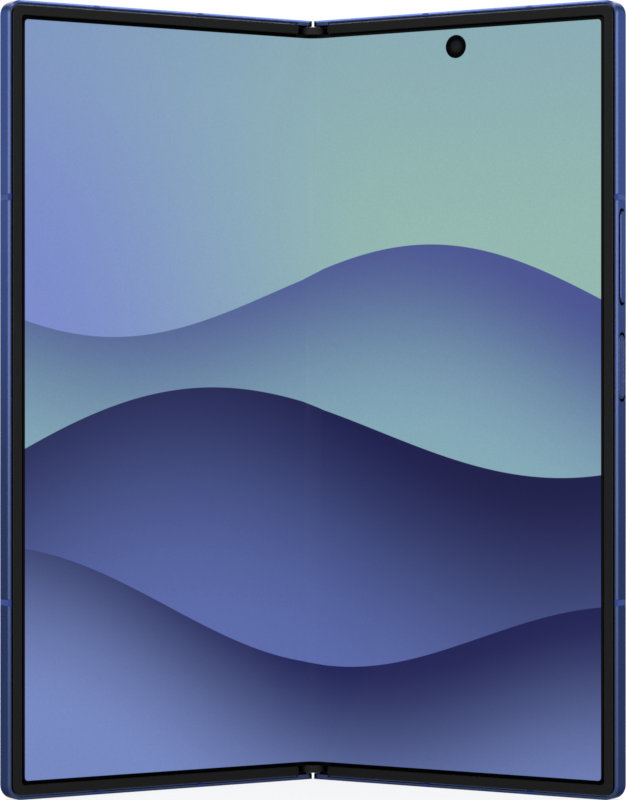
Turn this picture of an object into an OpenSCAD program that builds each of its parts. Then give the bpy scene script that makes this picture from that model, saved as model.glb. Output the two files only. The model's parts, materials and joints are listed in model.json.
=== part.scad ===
// Foldable smartphone, standing part open on its lower edges: two thin halves on a geared
// hinge, with one bending display inside and a cover display and cameras outside.
// +Z is up, -Y faces the opened display and the fold line lies on X = 0.
// Each half is drawn flat first: u runs outward from the fold line, depth runs from the front
// rim (0) to the back (phone_t), and z is the height. half() then tilts it about its hinge axis.

/* [Overall] */
// Height of the phone on its lower edge
phone_h = 158.4; // [140:0.1:192]
// Width of one half, from the fold line to its outer edge
half_w = 71.6; // [66:0.1:86]
// Thickness of one half, without the camera block
phone_t = 4.2; // [4.1:0.01:5.1]
// Tilt of each half out of flat, as drawn
fold_tilt = 32; // [5:0.1:60]
// Radius of the outer corners
corner_r = 2.9; // [2.8:0.1:5]
// Chamfer round the front edge
front_chamfer = 0.35; // [0.1:0.01:0.5]
// Chamfer round the back edge
back_chamfer = 0.5; // [0.1:0.01:0.6]

/* [Frame] */
// Thickness of the outer wall
wall_t = 1.6; // [1.3:0.01:2]
// Thickness of the end walls that cover the hinge
end_wall = 1.1; // [0.9:0.01:1.4]
// Thickness of the plate between the display and the components
mid_t = 0.4; // [0.3:0.01:0.6]
// Width of the rail along the hinge
rail_w = 2.3; // [1.8:0.1:3]
// Thickness of the back flap over the hinge
flap_t = 0.5; // [0.4:0.01:0.6]
// Thickness of the back glass
glass_t = 0.55; // [0.4:0.01:0.7]
// Metal shown round the back glass
glass_inset = 0.9; // [0.7:0.01:1.2]
// Width of the antenna breaks
break_w = 1.2; // [0.8:0.1:1.6]
// Distance of the side antenna breaks from each end
side_break_z = 39.1; // [30:0.1:40]
// Distance of the inner antenna breaks from the fold line
inner_break_u = 27.8; // [20:0.1:28]
// Distance of the outer antenna breaks from the fold line
outer_break_u = 51.8; // [51.6:0.1:54]

/* [Display] */
// Width of the metal rim in front
rim_w = 0.63; // [0.6:0.01:1]
// Groove between the rim and the bezel
groove_w = 0.32; // [0.1:0.01:0.35]
// Width of the raised bezel
bezel_w = 2; // [1.6:0.01:2.4]
// Thickness of the bezel
bezel_t = 0.7; // [0.5:0.01:0.8]
// Height of the bezel above the rim
bezel_proud = 0.2; // [0:0.01:0.3]
// Depth of the display's face below the rim
display_sink = 0.15; // [0:0.01:0.3]
// Thickness of the display
display_t = 0.5; // [0.3:0.01:0.6]
// Thickness of the plate that stiffens the display
plate_t = 0.2; // [0.1:0.01:0.25]
// Distance from the fold line to where the display starts to bend
bend_u = 3.12; // [2.6:0.01:3.8]
// Corner radius of the display
panel_r = 0.8; // [0.4:0.1:2]

/* [Hinge] */
// Depth of the hinge axes below the front rim
axis_depth = 1.75; // [1.7:0.01:1.9]
// Gap between the front rims when closed
closed_gap = 0.5; // [0.44:0.01:0.7]
// Clearance round the hinge cover
cover_gap = 0.1; // [0.05:0.01:0.15]
// Wall of the hinge cover
spine_wall = 0.45; // [0.3:0.01:0.5]
// Gap between the end walls of the two halves
end_gap = 0.45; // [0.3:0.01:0.9]
// Radius of the hinge pins
pin_r = 0.3; // [0.25:0.01:0.36]
// Running clearance round pins and axles
run_fit = 0.03; // [0.01:0.01:0.05]
// Radius of the arms' knuckles
knuckle_r = 0.8; // [0.7:0.01:0.82]
// Distance of each hinge unit from the end of the phone
unit_z = 26; // [14:0.1:28]
// Thickness of the hinge arms
arm_t = 0.6; // [0.5:0.01:0.7]
// Reach of the hinge arms from the fold line
arm_reach = 11.5; // [11:0.1:14]
// Length of the hinge arms along the fold
arm_len = 13.8; // [12.5:0.1:13.8]
// Width of the hinge end caps
cap_w = 4.72; // [4:0.01:5]
// Height of the hinge end caps
cap_h = 1.54; // [1:0.01:1.58]
// Gap between the hinge end caps and the end walls
cap_gap = 0.32; // [0.1:0.01:0.35]
// Height of the end caps in front of the front rims
cap_proud = 0.3; // [0:0.01:0.4]

/* [Keys and slots] */
// Depth of the keys' middle below the front rim
key_depth = 2.1; // [2:0.01:2.2]
// Width of the volume key
key_w = 2.2; // [1.8:0.01:2.4]
// Width of the side key
side_key_w = 2.5; // [1.8:0.01:2.5]
// Length of the volume key
volume_len = 18.15; // [14:0.05:20]
// Distance from the top of the phone to the volume key
volume_top = 41.8; // [41:0.1:45.5]
// Height of the volume key above the side
volume_proud = 0.28; // [0.1:0.01:0.4]
// Length of the side key
side_key_len = 12.75; // [10:0.05:13]
// Distance from the top of the phone to the side key
side_key_top = 66.3; // [65.9:0.1:68]
// Clearance beside the keys
key_fit = 0.1; // [0.08:0.01:0.12]
// Clearance at the ends of the keys
key_end_fit = 0.55; // [0.1:0.01:0.6]
// Width of the opening of the charging port
port_w = 8.34; // [8.34:0.01:8.5]
// Height of the opening of the charging port
port_h = 2.56; // [2.56:0.01:2.6]
// Wall of the port's shell
port_wall = 0.1; // [0.08:0.01:0.12]
// Distance from the fold line to the middle of the port
port_u = 37; // [35:0.1:40]
// Distance from the fold line to the middle of the card tray
tray_u = 44.5; // [44.4:0.1:44.7]
// Length of the card tray
tray_len = 15; // [14:0.1:16]

/* [Cameras] */
// Width of the camera block
island_w = 19; // [17:0.1:20]
// Length of the camera block
island_len = 57; // [54:0.1:60]
// Height of the camera block above the back
island_t = 1.4; // [1:0.1:2]
// Distance from the outer edge to the middle of the camera block
island_edge = 14.1; // [13:0.1:15]
// Distance from the top of the phone to the middle of the camera block
island_top = 34.9; // [34:0.1:38]
// Distance between the cameras
camera_pitch = 18; // [17:0.1:19]
// Radius of the lens rings
ring_r = 7.2; // [6:0.1:7.8]
// Height of the lens rings above the camera block
ring_t = 0.9; // [0.5:0.1:1.2]
// Radius of the camera barrels
barrel_r = 4.9; // [4:0.1:5.2]
// Distance from the fold line to the inner camera
inner_camera_u = 34.9; // [33:0.1:36]
// Distance from the top of the phone to the front cameras
front_camera_top = 7.3; // [7:0.1:8]
// Radius of the inner camera's hole in the display
punch_r = 2.37; // [1.8:0.01:2.5]
// Distance from the fold line to the cover camera
cover_camera_u = 37.2; // [36:0.1:37.2]
// Thickness of the cover display
cover_display_t = 0.65; // [0.5:0.01:0.7]

/* [Hidden] */
$fn = 48;
past = 1;                 // how far a cut runs past a face
skin = 0.01;              // thinnest slice of a hull
fit = 0.05;               // gap between fixed pieces
hull_fn = 32;

// Depths of the layers of a half, from front to back
bezel_front = -bezel_proud;
bezel_seat = bezel_t - bezel_proud;
display_back = display_sink + display_t;
plate_back = display_back + plate_t;
bay_front = plate_back + mid_t;
glass_seat = phone_t - glass_t;
flap_front = phone_t - flap_t;
cover_display_back = glass_seat - fit;
cover_display_front = cover_display_back - cover_display_t;
block_back = cover_display_front - fit;

// Insets from the outer edge of a half
bezel_inset = rim_w + groove_w;
panel_inset = bezel_inset + bezel_w + fit;

// Hinge, seen from above: axes at +-axis_x, axis_depth
axis_x = axis_depth + closed_gap / 2;
spine_r = flap_front - cover_gap - axis_depth;
spine_back = axis_depth + spine_r;
spine_in_r = spine_r - spine_wall;
spine_in_back = spine_back - spine_wall;
flap_u0 = cover_gap;
rail_u0 = max(axis_x + spine_r, axis_x + axis_depth + cap_proud) + 2 * cover_gap;
rail_u1 = rail_u0 + rail_w;
bezel_u0 = rail_u0 + fit;
bezel_end_r = 0.6;         // rounding of the bezels' corners beside the hinge
glass_rail = 0.95;        // metal shown between the hinge and the back glass
glass_u0 = rail_u0 + glass_rail;
end_r = axis_x - end_gap / 2;
end_round_r = 0.5;        // rounding of the end walls' corners at the fold
end_shift = 0.02;         // keeps that rounding off the faces that it meets
spine_z0 = end_wall + cover_gap;
spine_z1 = phone_h - spine_z0;

// Four gears in line: one on each arm and two idlers between them
gear_teeth = 10;
pressure_angle = 20;
gear_r = axis_x / 3;
gear_module = 2 * gear_r / gear_teeth;
gear_tip_r = gear_r + 0.75 * gear_module;
gear_root_r = gear_r - 1.05 * gear_module;
gear_base_r = gear_r * cos(pressure_angle);
gear_backlash = 1.1;      // degrees taken off each flank
flank_steps = 4;
idler_axle_r = 0.25;

// Lengthwise places in a hinge unit, from its lower end
wall_len = 2;
gap_z = 0.1;
arm_z0 = wall_len + gap_z;
arm_z1 = arm_z0 + arm_len;
gear_z0 = 8;
gear_z1 = 11;
block_len = 2;
collar_z0 = arm_z1 + gap_z;
collar_len = 2;
collar_z1 = collar_z0 + collar_len;
spring_len = 5.9;
spring_z0 = collar_z1;
spring_z1 = spring_z0 + spring_len;
unit_len = spring_z1 + wall_len;
ear_len = 3;
base_front = axis_depth - gear_tip_r - 0.01;
base_floor = axis_depth + knuckle_r + cover_gap;
base_w = 2 * axis_x;
idler_wall_w = 2 * (axis_x - knuckle_r - cover_gap);
pin_wall_r = knuckle_r - 0.02;
arm_gap = 0.15;
arm_front = plate_back + arm_gap;
arm_back = arm_front + arm_t;
gear_window = 3.2;        // reach of the window in an arm beside its gear
spring_wall = 0.3;

// Screws
screw_r = 0.45;
screw_head_r = 0.8;
screw_head_t = 0.3;
arm_screw_u = 9;
arm_screw_edge = 3;
arm_screw_len = 1;        // past the arm
arm_screw_back = arm_back + arm_screw_len;
spine_screw_back = spine_back - 0.15;

// Place, seen from above, of a point (u, depth) of the right half at its tilt
function tilted(u, d) = [
    axis_x + (u - axis_x) * cos(fold_tilt) + (d - axis_depth) * sin(fold_tilt),
    axis_depth - (u - axis_x) * sin(fold_tilt) + (d - axis_depth) * cos(fold_tilt)
];

// Display bend: an arc about (0, bend_y) that meets both halves squarely
bend_end = tilted(bend_u, display_sink);
bend_r = bend_end.x / sin(fold_tilt);
bend_y = bend_end.y - bend_r * cos(fold_tilt);
bend_steps = 16;

// Flex cables across the fold
flex_w = 9;
flex_t = 0.12;
flex_drop = 1.15;
flex_reach = 3.3;
flex_z = 14;              // distance of each cable from the middle of the phone

// Hinge end caps
cap_z0 = end_wall + cap_gap;
cap_back = axis_depth - 0.15;
cap_bow_r = 2.9;
cap_foot_w = 3.6;

// Antenna breaks
break_us = [inner_break_u, outer_break_u];

// Component bay
block_reach = arm_reach + wall_t;
component_u0 = block_reach + 0.4;
component_edge = 5.5;
component_front = bay_front + cover_gap;
battery_back = glass_seat - 0.3;
coil_front = battery_back + fit;
coil_back = glass_seat - fit;
right_battery_z0 = 20;
right_battery_z1 = phone_h - 72;
left_battery_z0 = 8;
left_battery_z1 = phone_h - 34;
board_t = 0.6;
board_gap = 2;            // between a board and a battery
motor_r = 3;
motor_u = component_u0 + 6;
motor_z = wall_t + motor_r + 0.5;
coil_r = 20;
coil_in_r = 10;

// Boards: each block is [u, z, width, height] from the board's lower inner corner
left_board_w = 19;
left_board_z1 = phone_h - 8;
left_chips = [[2, 3, 8, 6], [12, 4, 5, 10]];
main_board_z1 = phone_h - 12;
main_chips = [[2, 3, 18, 20], [2, 26, 12, 14], [18, 28, 8, 16]];
sub_chips = [[2, 2, 6, 5], [22, 1, 10, 4]];

// Speakers, each with a throat behind its sound holes
bottom_speaker_u0 = 51;
top_speaker_u0 = 52.5;
speaker_u1 = half_w - 4;
bottom_speaker_z1 = right_battery_z0 - 3;
top_speaker_z0 = phone_h - 16;
throat_more = 1.5;
throat_len = 2;
throat_floor = 0.35;

// Cameras
island_u = half_w - island_edge;
island_z = phone_h - island_top;
island_back = phone_t + island_t;
ring_back = island_back + ring_t;
ring_in_r = ring_r - 1.6;
camera_body = 11;
camera_hole_r = barrel_r + 0.2;
lens_glass_t = 0.35;
barrel_back = ring_back - lens_glass_t - 0.25;
flash_u = island_u - 14;
flash_z = island_z + camera_pitch;
flash_r = 1.5;
front_camera_z = phone_h - front_camera_top;
front_camera_body = 4.4;
punch_fit = 0.07;
inner_lens_r = 1.35;

// Keys
key_travel = 0.25;
flange_t = 0.2;
flange_in = half_w - wall_t - flange_t - key_travel;
flange_more = 1;
flange_w = 2 * (min(key_depth - plate_back, glass_seat - key_depth) - fit);
volume_z0 = phone_h - volume_top - volume_len;
volume_mid = volume_z0 + volume_len / 2;
side_key_z0 = phone_h - side_key_top - side_key_len;
side_key_mid = side_key_z0 + side_key_len / 2;
side_key_sunk = 0.05;
sensor_t = 0.15;
sensor_margin = 0.4;
key_flex_t = 0.3;
key_flex_u = half_w - 3;
dome_r = 0.8;
dome_t = 0.35;
dome_spread = 6;

// Charging port, held between the back glass and the wall
port_gap = 0.02;
port_depth = glass_seat - port_gap - port_wall - port_h / 2;
port_len = 6.5;
sub_board_z0 = wall_t + port_len + 0.5;
sub_board_u1 = bottom_speaker_u0 - 1;
port_back_t = 0.4;
tongue_w = 6.65;
tongue_t = 0.7;
tongue_len = 4.45;

// Sound holes, as distances from the fold line
hole_r = 0.45;
speaker_us = [55, 57, 59, 61];
mic_us = [23, 46];

// Card tray
tray_t = 0.9;
tray_depth = bay_front + 0.7;
card_w = 8.8;
card_len = 12.3;
card_t = 0.67;
card_rail = 0.25;
card_edge = 1.4;
tray_w = card_w + 2 * card_rail;
tray_fit = 0.06;
eject_r = 0.35;
ejector_r = 0.3;
ejector_len = 13;
ejector_gap = 0.2;        // between the ejector and the tray's door
eject_wall = 0.15;
eject_u = tray_u + tray_w / 2 + eject_wall + eject_r;
door_w = 1.7;
door_t = 1;
door_edge = 0.9;
door_len = eject_u + door_edge - (tray_u - tray_w / 2 - door_edge);
door_u = (eject_u + tray_u - tray_w / 2) / 2;
holder_wall = 0.15;
holder_len = tray_len + 0.6;

// Shift that centres the whole outline on Y = 0
front_y = tilted(half_w - front_chamfer, 0).y;
back_y = tilted(flap_u0, phone_t).y;
shift_y = -(front_y + back_y) / 2;

metal = "#46568a";
edge_metal = "#2f3f6e";
steel = "#b9bcc2";
black = "#1c1c1e";
glass_blue = "#38497c";
screen = "#7d93bf";
copper = "#b87333";
board_green = "#1f5a3c";

// ---- Placing ----

// Everything fixed to the hinge
module hinged() {
    translate([0, shift_y, 0]) children();
}

// A half drawn flat, tilted about its hinge axis: side is -1 for left and 1 for right
module half(side) {
    hinged()
        translate([side * axis_x, axis_depth, 0])
            rotate([0, 0, -side * fold_tilt])
                translate([-side * axis_x, -axis_depth, 0])
                    if (side < 0) {
                        mirror([1, 0, 0]) children();
                    } else {
                        children();
                    }
}

// A hinge unit drawn from z = 0 up, at the lower end or mirrored to the upper end
module unit(upper) {
    if (upper) {
        translate([0, 0, phone_h]) mirror([0, 0, 1]) translate([0, 0, unit_z]) children();
    } else {
        translate([0, 0, unit_z]) children();
    }
}

// Stands a drawing of (u, z) up as a slab from depth d0 to d1
module slab(d0, d1) {
    translate([0, d1, 0]) rotate([90, 0, 0]) linear_extrude(height = d1 - d0) children();
}

// ---- Shapes ----

// Outline of a half from u0 outward, drawn in by inset, with round outer corners
module outline(u0, inset, r) {
    u1 = half_w - inset;
    z0 = inset;
    z1 = phone_h - inset;
    translate([u0, z0]) square([u1 - r - u0, z1 - z0]);
    translate([u0, z0 + r]) square([u1 - u0, z1 - z0 - 2 * r]);
    for (z = [z0 + r, z1 - r]) translate([u1 - r, z]) circle(r = r);
}

// Slot shape, long along x
module pill(len, wid) {
    square([len - wid, wid], center = true);
    for (s = [-1, 1]) translate([s * (len - wid) / 2, 0]) circle(r = wid / 2);
}

// Pill in a side wall, from u0 outward to u1
module side_pill(z, len, wid, u0, u1) {
    translate([u0, key_depth, z]) rotate([0, 90, 0]) linear_extrude(height = u1 - u0) pill(len, wid);
}

// Pill in a top or bottom wall, from z0 to z1
module end_pill(u, depth, len, wid, z0, z1) {
    translate([u, depth, z0]) linear_extrude(height = z1 - z0) pill(len, wid);
}

// Row of sound holes in a top or bottom wall
module sound_holes(us, z0) {
    for (u = us) translate([u, key_depth, z0]) cylinder(r = hole_r, h = wall_t + 2 * past);
}

// Box given by its two ends on each axis
module span(u, d, z) {
    translate([u[0], d[0], z[0]]) cube([u[1] - u[0], d[1] - d[0], z[1] - z[0]]);
}

// Cylinder along z about a hinge axis
module on_axis(x, r, z0, z1) {
    translate([x, axis_depth, z0]) cylinder(r = r, h = z1 - z0);
}

// Cylinder along the depth of a half
module through(u, z, r, d0, d1) {
    translate([u, d1, z]) rotate([90, 0, 0]) cylinder(r = r, h = d1 - d0);
}

// Screw with its head in front, from depth d0 to d1
module screw(u, z, d0, d1) {
    difference() {
        through(u, z, screw_head_r, d0, d0 + screw_head_t);
        through(u, z, screw_r / 2, d0 - past, d0 + screw_head_t / 2);
    }
    through(u, z, screw_r, d0 + screw_head_t, d1);
}

// ---- Gears ----

function involute(a) = tan(a) * 180 / PI - a;
function tooth_half(r) = 90 / gear_teeth - gear_backlash + involute(pressure_angle)
    - involute(acos(min(1, gear_base_r / r)));
function polar(r, a) = [r * cos(a), r * sin(a)];
function flank_r(i) = gear_base_r + (gear_tip_r - gear_base_r) * i / flank_steps;
function tooth(a) = concat(
    [polar(gear_root_r, a - tooth_half(gear_base_r))],
    [for (i = [0:flank_steps]) polar(flank_r(i), a - tooth_half(flank_r(i)))],
    [for (i = [flank_steps:-1:0]) polar(flank_r(i), a + tooth_half(flank_r(i)))],
    [polar(gear_root_r, a + tooth_half(gear_base_r))]
);

// Gear about (x, axis_depth) with its first tooth at angle phase
module gear(x, phase, z0, z1) {
    translate([x, axis_depth, z0])
        linear_extrude(height = z1 - z0)
            polygon([for (k = [0:gear_teeth - 1], p = tooth(phase + k * 360 / gear_teeth)) p]);
}

// ---- Hinge ----

// Outline of the hinge cover seen from above, r being its corner radius about the axes
module spine_profile(r) {
    translate([-axis_x, axis_depth]) square([2 * axis_x, r]);
    for (s = [-1, 1]) intersection() {
        translate([s * axis_x, axis_depth]) circle(r = r);
        translate([-2 * axis_x - r, axis_depth]) square([4 * axis_x + 2 * r, r]);
    }
}

module spine_cover() {
    color(metal) hinged() difference() {
        translate([0, 0, spine_z0]) linear_extrude(height = spine_z1 - spine_z0) difference() {
            spine_profile(spine_r);
            spine_profile(spine_in_r);
        }
        for (upper = [false, true]) unit(upper) for (z = [-ear_len / 2, unit_len + ear_len / 2])
            through(0, z, screw_r, spine_in_back - past, spine_screw_back);
    }
}

module pin_wall(z0, z1) {
    span([-axis_x, axis_x], [base_front, spine_in_back], [z0, z1]);
    for (s = [-1, 1]) on_axis(s * axis_x, pin_wall_r, z0, z1);
}

module idler_wall(z0, z1) {
    difference() {
        span([-idler_wall_w / 2, idler_wall_w / 2], [base_front, spine_in_back], [z0, z1]);
        for (s = [-1, 1]) on_axis(s * gear_r, idler_axle_r + run_fit, z0 - past, z1 + past);
    }
}

module hinge_base(upper) {
    color(steel) hinged() unit(upper) {
        difference() {
            union() {
                pin_wall(0, wall_len);
                pin_wall(spring_z1, unit_len);
                span([-base_w / 2, base_w / 2], [base_floor, spine_in_back],
                    [-ear_len, unit_len + ear_len]);
            }
            for (s = [-1, 1]) on_axis(s * axis_x, pin_r, -past, unit_len + past);
            for (z = [-ear_len / 2, unit_len + ear_len / 2])
                through(0, z, screw_r, base_floor - past, spine_in_back + past);
        }
        idler_wall(gear_z0 - gap_z - block_len, gear_z0 - gap_z);
        idler_wall(gear_z1 + gap_z, gear_z1 + gap_z + block_len);
    }
}

module hinge_pins() {
    color("silver") hinged() for (upper = [false, true]) unit(upper)
        for (s = [-1, 1]) on_axis(s * axis_x, pin_r, 0, unit_len);
}

module pressure_collars() {
    color("gray") hinged() for (upper = [false, true]) unit(upper) difference() {
        union() {
            span([-axis_x, axis_x], [base_front, axis_depth + knuckle_r], [collar_z0, collar_z1]);
            for (s = [-1, 1]) on_axis(s * axis_x, pin_wall_r, collar_z0, collar_z1);
        }
        for (s = [-1, 1]) on_axis(s * axis_x, pin_r + run_fit, collar_z0 - past, collar_z1 + past);
    }
}

module hinge_springs() {
    color("dimgray") hinged() for (upper = [false, true]) unit(upper) for (s = [-1, 1])
        difference() {
            on_axis(s * axis_x, pin_r + fit + spring_wall, spring_z0, spring_z1);
            on_axis(s * axis_x, pin_r + fit, spring_z0 - past, spring_z1 + past);
        }
}

// End cap: a bowed block between the ends of the bezels, on a foot in the hinge cover
module hinge_cap(z0) {
    color(black) hinged() {
        intersection() {
            span([-cap_w / 2, cap_w / 2], [-cap_proud, cap_back], [z0, z0 + cap_h]);
            translate([0, cap_bow_r - cap_proud, z0]) cylinder(r = cap_bow_r, h = cap_h);
        }
        span([-cap_foot_w / 2, cap_foot_w / 2], [cap_back, spine_in_back], [z0, z0 + cap_h]);
    }
}

module spine_screws() {
    color("silver") hinged() for (upper = [false, true]) unit(upper)
        for (z = [-ear_len / 2, unit_len + ear_len / 2])
            screw(0, z, base_floor - screw_head_t, spine_screw_back);
}

// Sheet along the bend, from radius r to r + t
module bend_sheet(r, t, z0, z1) {
    reach = 2 * (r + t);
    translate([0, bend_y, z0]) linear_extrude(height = z1 - z0) intersection() {
        difference() {
            circle(r = r + t);
            circle(r = r);
        }
        polygon([[0, 0], polar(reach, 90 - fold_tilt), [0, reach], polar(reach, 90 + fold_tilt)]);
    }
}

module fold_display() {
    color(screen) hinged() bend_sheet(bend_r, display_t, panel_inset, phone_h - panel_inset);
}

// Points along the bend at radius r, from angle a0 to a1 out of the middle
function bend_arc(r, a0, a1) = [
    for (i = [0:bend_steps]) [0, bend_y] + polar(r, 90 - a0 - (a1 - a0) * i / bend_steps)
];
function mirrored(p) = [-p.x, p.y];

// Flex cable: the stretch of a thin strip that bends behind the display, which ends before the halves
module flex_cable(z) {
    r = bend_r + flex_drop;
    d = display_sink + flex_drop;
    front_end = tilted(flex_reach, d);
    back_end = tilted(flex_reach, d + flex_t);
    color("#7a4a1e") hinged() translate([0, 0, z - flex_w / 2]) linear_extrude(height = flex_w)
        polygon(concat(
            [mirrored(front_end)], bend_arc(r, -fold_tilt, fold_tilt), [front_end, back_end],
            bend_arc(r + flex_t, fold_tilt, -fold_tilt), [mirrored(back_end)]
        ));
}

// Idler gears turn on stub axles in the hinge bases
module idler_gears(side) {
    color("silver") hinged() for (upper = [false, true]) unit(upper) {
        gear(side * gear_r, side < 0 ? 180 / gear_teeth : 0, gear_z0, gear_z1);
        on_axis(side * gear_r, idler_axle_r, gear_z0 - gap_z - block_len, gear_z1 + gap_z + block_len);
    }
}

// Hinge arm: a plate screwed into a half, a knuckle on the pin and a gear in its middle
module arm(side, upper) {
    color(steel) unit(upper) difference() {
        union() {
            half(side) difference() {
                span([axis_x, arm_reach], [arm_front, arm_back], [arm_z0, arm_z1]);
                span([0, gear_window], [0, phone_t], [gear_z0 - gap_z, gear_z1 + gap_z]);
                for (z = [arm_z0 + arm_screw_edge, arm_z1 - arm_screw_edge]) {
                    through(arm_screw_u, z, screw_head_r, 0, arm_front + screw_head_t);
                    through(arm_screw_u, z, screw_r, 0, phone_t);
                }
            }
            hinged() {
                on_axis(side * axis_x, knuckle_r, arm_z0, gear_z0 - gap_z);
                on_axis(side * axis_x, knuckle_r, gear_z1 + gap_z, arm_z1);
                gear(side * axis_x, side < 0 ? 0 : 180 / gear_teeth, gear_z0 - gap_z, gear_z1 + gap_z);
            }
        }
        hinged() on_axis(side * axis_x, pin_r + run_fit, arm_z0 - past, arm_z1 + past);
    }
}

module arm_screws(side) {
    color("silver") for (upper = [false, true]) unit(upper) half(side)
        for (z = [arm_z0 + arm_screw_edge, arm_z1 - arm_screw_edge])
            screw(arm_screw_u, z, arm_front, arm_screw_back);
}

// ---- Frames ----

// Outer form of a half with chamfered front and back edges
module frame_blank() {
    hull() {
        slab(0, skin) outline(flap_u0, front_chamfer, corner_r - front_chamfer, $fn = hull_fn);
        slab(front_chamfer, phone_t - back_chamfer) outline(flap_u0, 0, corner_r, $fn = hull_fn);
        slab(phone_t - skin, phone_t)
            outline(flap_u0, back_chamfer, corner_r - back_chamfer, $fn = hull_fn);
    }
}

// Space cut from a half for the hinge, and the round ends of its end walls
module hinge_space() {
    span([flap_u0 - past, rail_u0], [-past, flap_front], [end_wall, phone_h - end_wall]);
    difference() {
        span([flap_u0 - past, axis_x], [-past, axis_depth], [-past, phone_h + past]);
        on_axis(axis_x, end_r, -2 * past, phone_h + 2 * past);
    }
    span([flap_u0 - past, axis_x - end_r], [axis_depth, flap_front], [-past, phone_h + past]);
    end_corners();
}

// Cuts that round the corners of both end walls at the fold
module end_corners() {
    u = axis_x - end_r + end_round_r - end_shift;
    for (upper = [false, true]) {
        z = upper ? phone_h - end_round_r + end_shift : end_round_r - end_shift;
        slab(-past, flap_front) difference() {
            translate([u - 2 * end_round_r, upper ? z : z - 2 * end_round_r])
                square(2 * end_round_r);
            translate([u, z]) circle(r = end_round_r);
        }
    }
}

// Seats for the bezel, the display and the back glass
module seats() {
    slab(-past, bezel_seat) outline(rail_u0, rim_w, corner_r - rim_w);
    slab(-past, plate_back) outline(rail_u0 - past, panel_inset - fit, panel_r + fit);
    slab(glass_seat, phone_t + past)
        outline(glass_u0 - fit, glass_inset - fit, corner_r - glass_inset + fit);
}

module arm_blocks_2d() {
    for (upper = [false, true]) {
        z0 = upper ? phone_h - unit_z - arm_z1 : unit_z + arm_z0;
        translate([rail_u1 - past, z0 - 2 * fit])
            square([block_reach + past - rail_u1, arm_len + 4 * fit]);
    }
}

// Hollow for the components, with a block left under each hinge arm
module bay() {
    slab(bay_front, block_back) difference() {
        outline(rail_u1, wall_t, corner_r - wall_t);
        arm_blocks_2d();
    }
    slab(block_back - skin, glass_seat + skin) outline(rail_u1, wall_t, corner_r - wall_t);
}

module arm_pockets() {
    for (upper = [false, true]) unit(upper) {
        span([rail_u0 - past, arm_reach + fit], [-past, arm_back], [arm_z0 - fit, arm_z1 + fit]);
        for (z = [arm_z0 + arm_screw_edge, arm_z1 - arm_screw_edge])
            through(arm_screw_u, z, screw_r, arm_front, arm_screw_back);
    }
}

module flex_notches() {
    for (s = [-1, 1]) {
        z = phone_h / 2 + s * flex_z;
        span([rail_u0 - past, rail_u1 + past], [plate_back, display_sink + flex_drop + 3 * flex_t],
            [z - flex_w / 2 - fit, z + flex_w / 2 + fit]);
    }
}

module break_slots() {
    for (u = break_us, z = [-past, phone_h - wall_t])
        span([u - break_w / 2, u + break_w / 2], [-past, phone_t + past], [z, z + wall_t + past]);
    for (z = [side_break_z, phone_h - side_break_z])
        span([half_w - wall_t, half_w + past], [-past, phone_t + past],
            [z - break_w / 2, z + break_w / 2]);
}

module frame_common() {
    difference() {
        frame_blank();
        hinge_space();
        seats();
        bay();
        arm_pockets();
        flex_notches();
        break_slots();
    }
}

// Slot for a key, with room for its flange behind the wall
module key_slot(z, len, wid) {
    side_pill(z, len + 2 * key_end_fit, wid + 2 * key_fit, half_w - wall_t - past, half_w + past);
    span([flange_in - key_travel - fit, half_w - wall_t], [plate_back, glass_seat],
        [z - len / 2 - flange_more - key_fit, z + len / 2 + flange_more + key_fit]);
}

module left_frame() {
    color(metal) half(-1) difference() {
        frame_common();
        sim_slot();
        sound_holes(speaker_us, phone_h - wall_t - past);
    }
}

module right_frame() {
    color(metal) half(1) difference() {
        frame_common();
        key_slot(volume_mid, volume_len, key_w);
        key_slot(side_key_mid, side_key_len, side_key_w);
        end_pill(port_u, port_depth, port_w, port_h, -past, wall_t + past);
        span([port_u - port_w / 2 - port_wall - fit, port_u + port_w / 2 + port_wall + fit],
            [plate_back, bay_front + past], [wall_t, wall_t + port_len + fit]);
        sound_holes(concat(speaker_us, mic_us), -past);
        through(inner_camera_u, front_camera_z, punch_r, plate_back - past, bay_front + past);
    }
}

module antenna_breaks(side) {
    color(edge_metal) half(side) difference() {
        intersection() {
            frame_blank();
            break_slots();
        }
        seats();
    }
}

// ---- Display side ----

// Bezel: a raised strip round three sides, with rounded ends beside the hinge
module bezel(side) {
    color(black) half(side) slab(bezel_front, bezel_seat) {
        difference() {
            outline(bezel_u0 + bezel_end_r, bezel_inset, corner_r - bezel_inset);
            outline(bezel_u0, bezel_inset + bezel_w, panel_r);
        }
        for (z0 = [bezel_inset, phone_h - bezel_inset - bezel_w]) translate([bezel_u0, z0]) {
            for (z = [bezel_end_r, bezel_w - bezel_end_r])
                translate([bezel_end_r, z]) circle(r = bezel_end_r);
            translate([0, bezel_end_r]) square([bezel_end_r, bezel_w - 2 * bezel_end_r]);
        }
    }
}

module display_half(side) {
    color(screen) half(side) difference() {
        slab(display_sink, display_back) outline(bend_u, panel_inset, panel_r);
        if (side > 0) through(inner_camera_u, front_camera_z, punch_r, -past, display_back + past);
    }
}

module support_plate(side) {
    color("gray") half(side) difference() {
        slab(display_back, plate_back) outline(bend_u, panel_inset, panel_r);
        if (side > 0) through(inner_camera_u, front_camera_z, punch_r, 0, plate_back + past);
    }
}

module inner_camera() {
    r = punch_r - punch_fit;
    color(black) half(1) {
        difference() {
            through(inner_camera_u, front_camera_z, r, display_sink + fit, component_front + skin);
            through(inner_camera_u, front_camera_z, inner_lens_r, 0, display_back);
        }
        span([inner_camera_u - front_camera_body / 2, inner_camera_u + front_camera_body / 2],
            [component_front, battery_back],
            [front_camera_z - front_camera_body / 2, front_camera_z + front_camera_body / 2]);
    }
}

module inner_camera_lens() {
    color("#15152a") half(1)
        through(inner_camera_u, front_camera_z, inner_lens_r, display_sink + 2 * fit, display_back);
}

// ---- Back ----

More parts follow.
